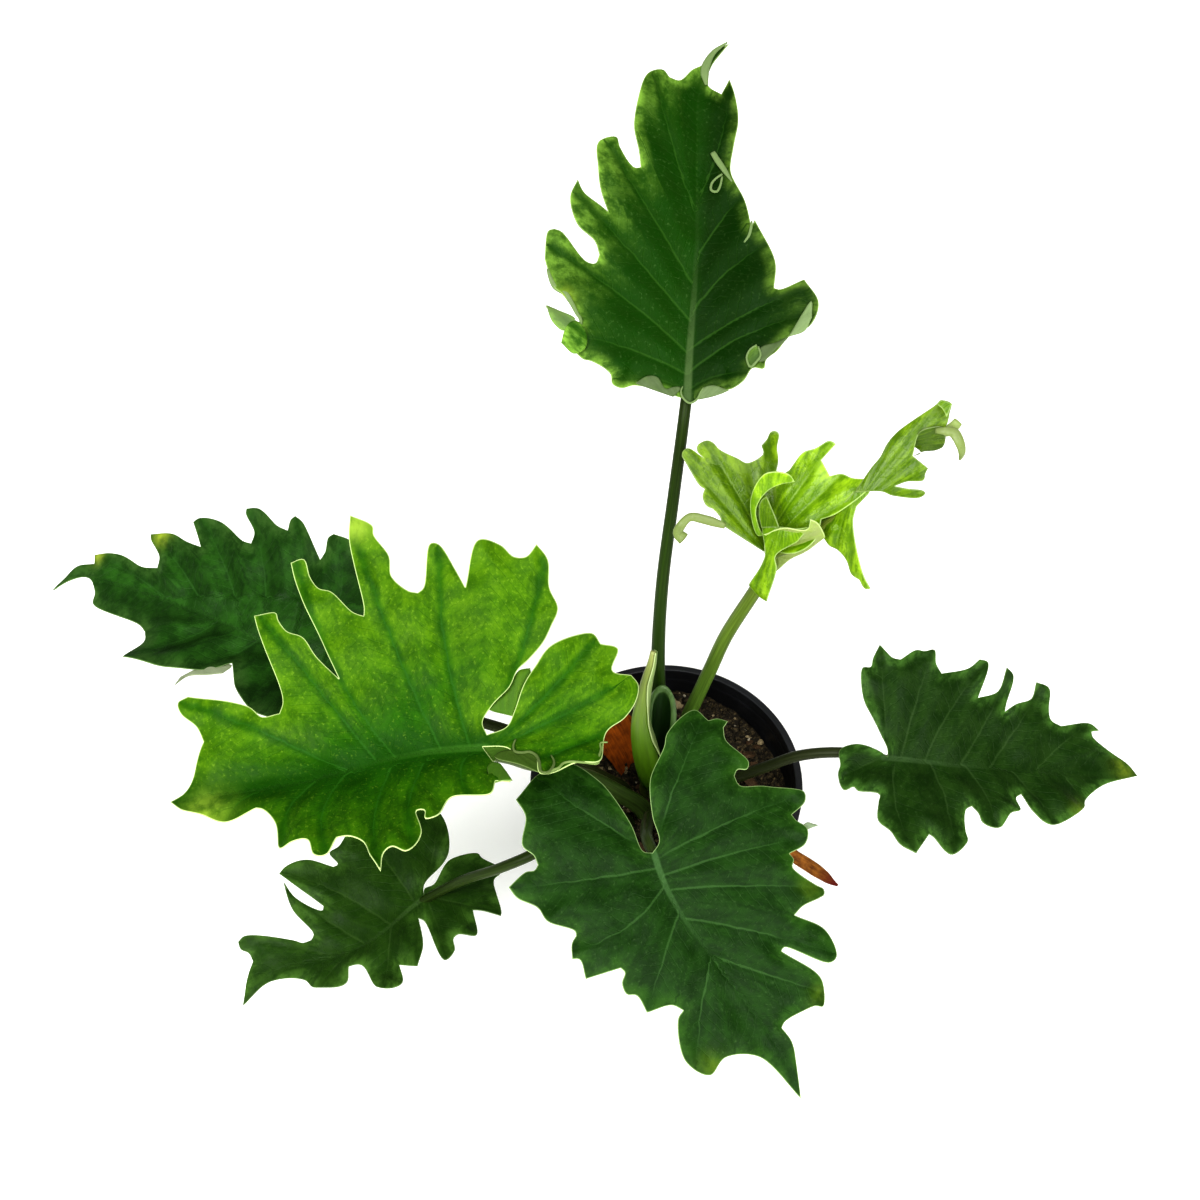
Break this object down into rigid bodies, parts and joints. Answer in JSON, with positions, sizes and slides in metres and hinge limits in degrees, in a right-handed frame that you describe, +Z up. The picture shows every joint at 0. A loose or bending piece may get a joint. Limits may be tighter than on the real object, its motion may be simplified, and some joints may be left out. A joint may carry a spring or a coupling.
{
  "type": "potted philodendron plant",
  "caption": "Small houseplant with deeply lobed, wavy leaves on slender stalks, growing from dark soil in a plain round tapered nursery pot.",
  "frame": {"origin": "centre of the pot's flat underside, which stands on the surface", "axes": "+Z up; -Y is the front, the side the longest view of the leaves faces; +X is to the right seen from the front"},
  "size_m": [0.4268, 0.3154, 0.2916],
  "materials": {
    "pot": "black moulded nursery-pot plastic, satin",
    "soil": "dark coarse potting mix of bark, fibre and pale grit",
    "crown": "fresh green sheath and rolled new leaf, semi-gloss",
    "dry_sheath": "papery orange-brown dried leaf sheath",
    "dry_strap": "papery brown dried leaf sheath with a dark red end",
    "leaf_tall": "mid green leaf with paler veins, waxy",
    "leaf_front": "deep green leaf with paler veins, waxy",
    "leaf_right": "deep green leaf with paler veins, waxy",
    "leaf_low_left": "very deep green leaf with paler veins, waxy",
    "leaf_bright": "bright mottled yellow-green leaf with paler veins and rim, waxy",
    "leaf_back_left": "deep blue-green leaf with paler veins, waxy",
    "leaf_young": "soft chartreuse new leaf, satin"
  },
  "bodies": {
    "root": {"pot": "pot", "soil": "soil", "crown": "crown", "dry_sheath": "dry_sheath", "dry_strap": "dry_strap", "leaf_tall": "leaf_tall", "leaf_front": "leaf_front", "leaf_right": "leaf_right", "leaf_low_left": "leaf_low_left", "leaf_bright": "leaf_bright", "leaf_back_left": "leaf_back_left", "leaf_young": "leaf_young"}
  },
  "joints": []
}
